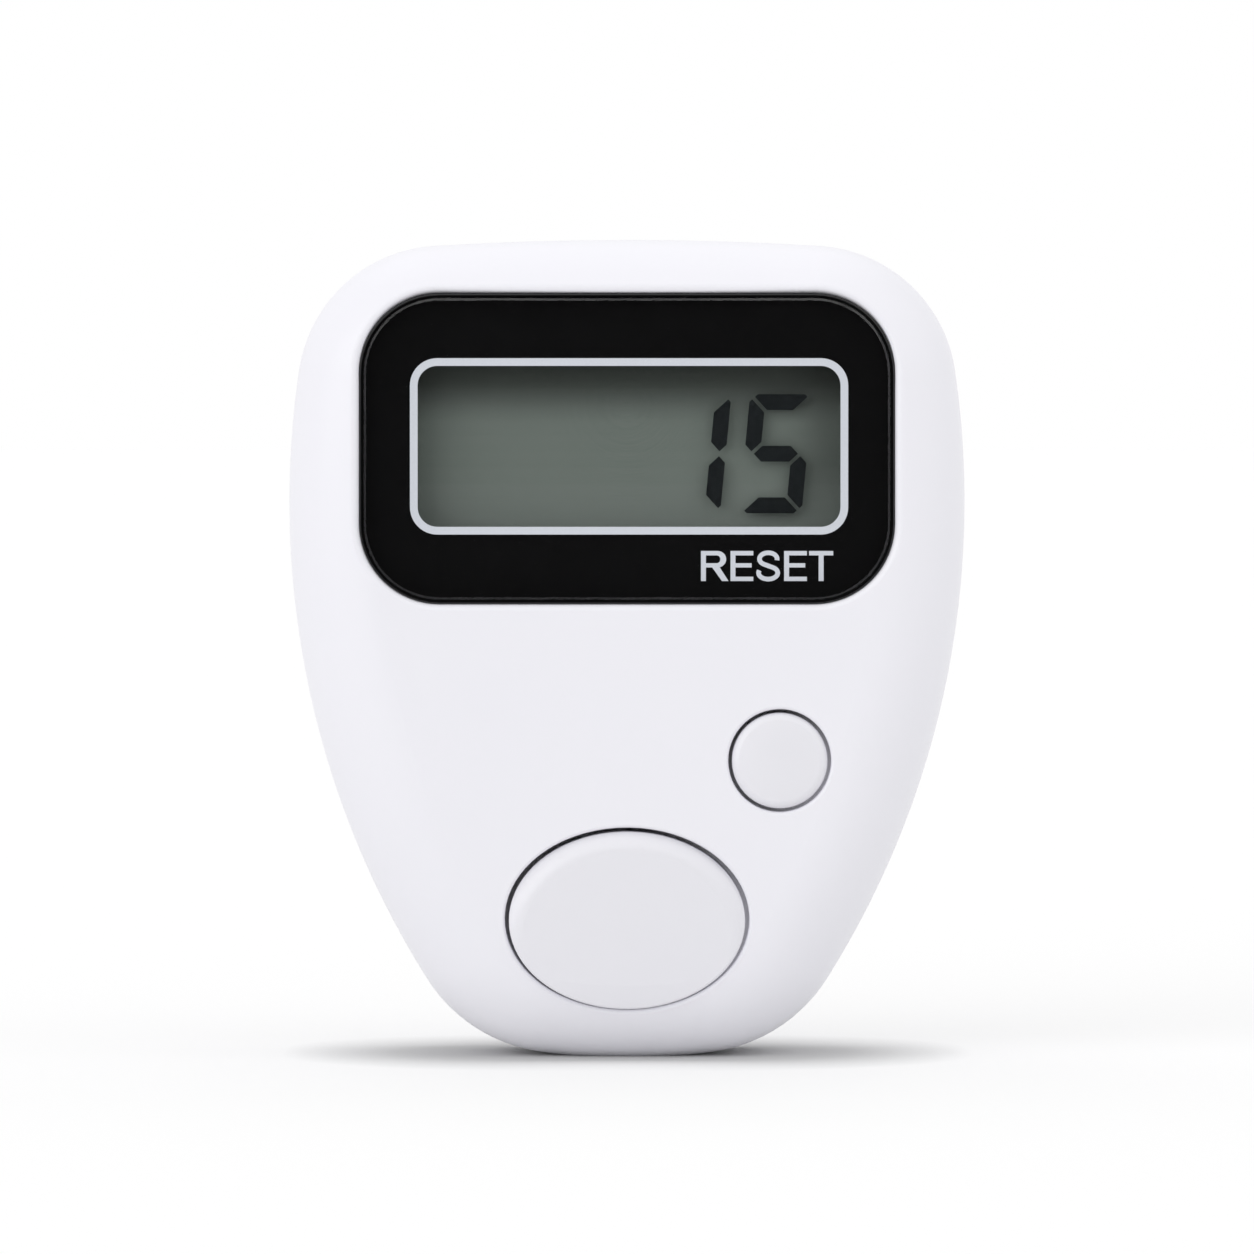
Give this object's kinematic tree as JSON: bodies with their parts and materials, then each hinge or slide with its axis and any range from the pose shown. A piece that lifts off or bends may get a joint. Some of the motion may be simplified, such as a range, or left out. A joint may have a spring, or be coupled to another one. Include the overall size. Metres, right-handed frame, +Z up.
{
  "type": "digital tasbih counter",
  "caption": "Palm-sized digital tally counter: tapered rounded white case, dark display panel, oval thumb button, small round reset button and a strap bridge behind.",
  "frame": {"origin": "lowest point of the case, on its centre line and midway through its depth", "axes": "+Z up the display, +X to the right of someone facing the display, +Y from the front face to the back"},
  "size_m": [0.033, 0.0118, 0.0398],
  "materials": {
    "case_plastic": "satin moulded white, very fine grain",
    "button_plastic": "satin moulded white, slightly smoother than the case",
    "lens_acrylic": "clear, polished",
    "black_film": "black, even",
    "display_glass": "clear, faintly green",
    "display_backing": "grey-green reflecting film",
    "foam": "dark closed-cell foam",
    "zebra_rubber": "banded rubber connector",
    "board_laminate": "green solder mask",
    "carbon_print": "printed carbon",
    "chip_resin": "cured black resin",
    "capacitor_ceramic": "tan ceramic",
    "cell_steel": "nickel plated",
    "spring_metal": "nickel-plated spring strip",
    "silicone": "milky translucent",
    "carbon_rubber": "matt black",
    "screw_steel": "zinc plated"
  },
  "bodies": {
    "case": {"front_shell": "case_plastic", "rear_cover": "case_plastic", "display_lens": "lens_acrylic", "lens_adhesive": "black_film", "lcd_front_glass": "display_glass", "lcd_rear_glass": "display_glass", "lcd_reflector": "display_backing", "lcd_foam_pad": "foam", "zebra_strip": "zebra_rubber", "circuit_board": "board_laminate", "switch_pads": "carbon_print", "chip_blob": "chip_resin", "bias_capacitors": "capacitor_ceramic", "button_cell": "cell_steel", "cell_clip": "spring_metal", "cell_spring": "spring_metal", "count_dome": "silicone", "reset_dome": "silicone", "case_screws": "screw_steel", "board_screws": "screw_steel"},
    "count_button": {"count_button": "button_plastic", "count_pill": "carbon_rubber"},
    "reset_button": {"reset_button": "button_plastic", "reset_pill": "carbon_rubber"}
  },
  "joints": [
    {"name": "count_press", "type": "slide", "parent": "case", "child": "count_button", "axis": [0, 1, 0], "range_m": [0, 0.0008], "stiffness_N_per_m": 1500, "deforming": ["count_dome"]},
    {"name": "reset_press", "type": "slide", "parent": "case", "child": "reset_button", "axis": [0, 1, 0], "range_m": [0, 0.0005], "stiffness_N_per_m": 2000, "deforming": ["reset_dome"]}
  ]
}
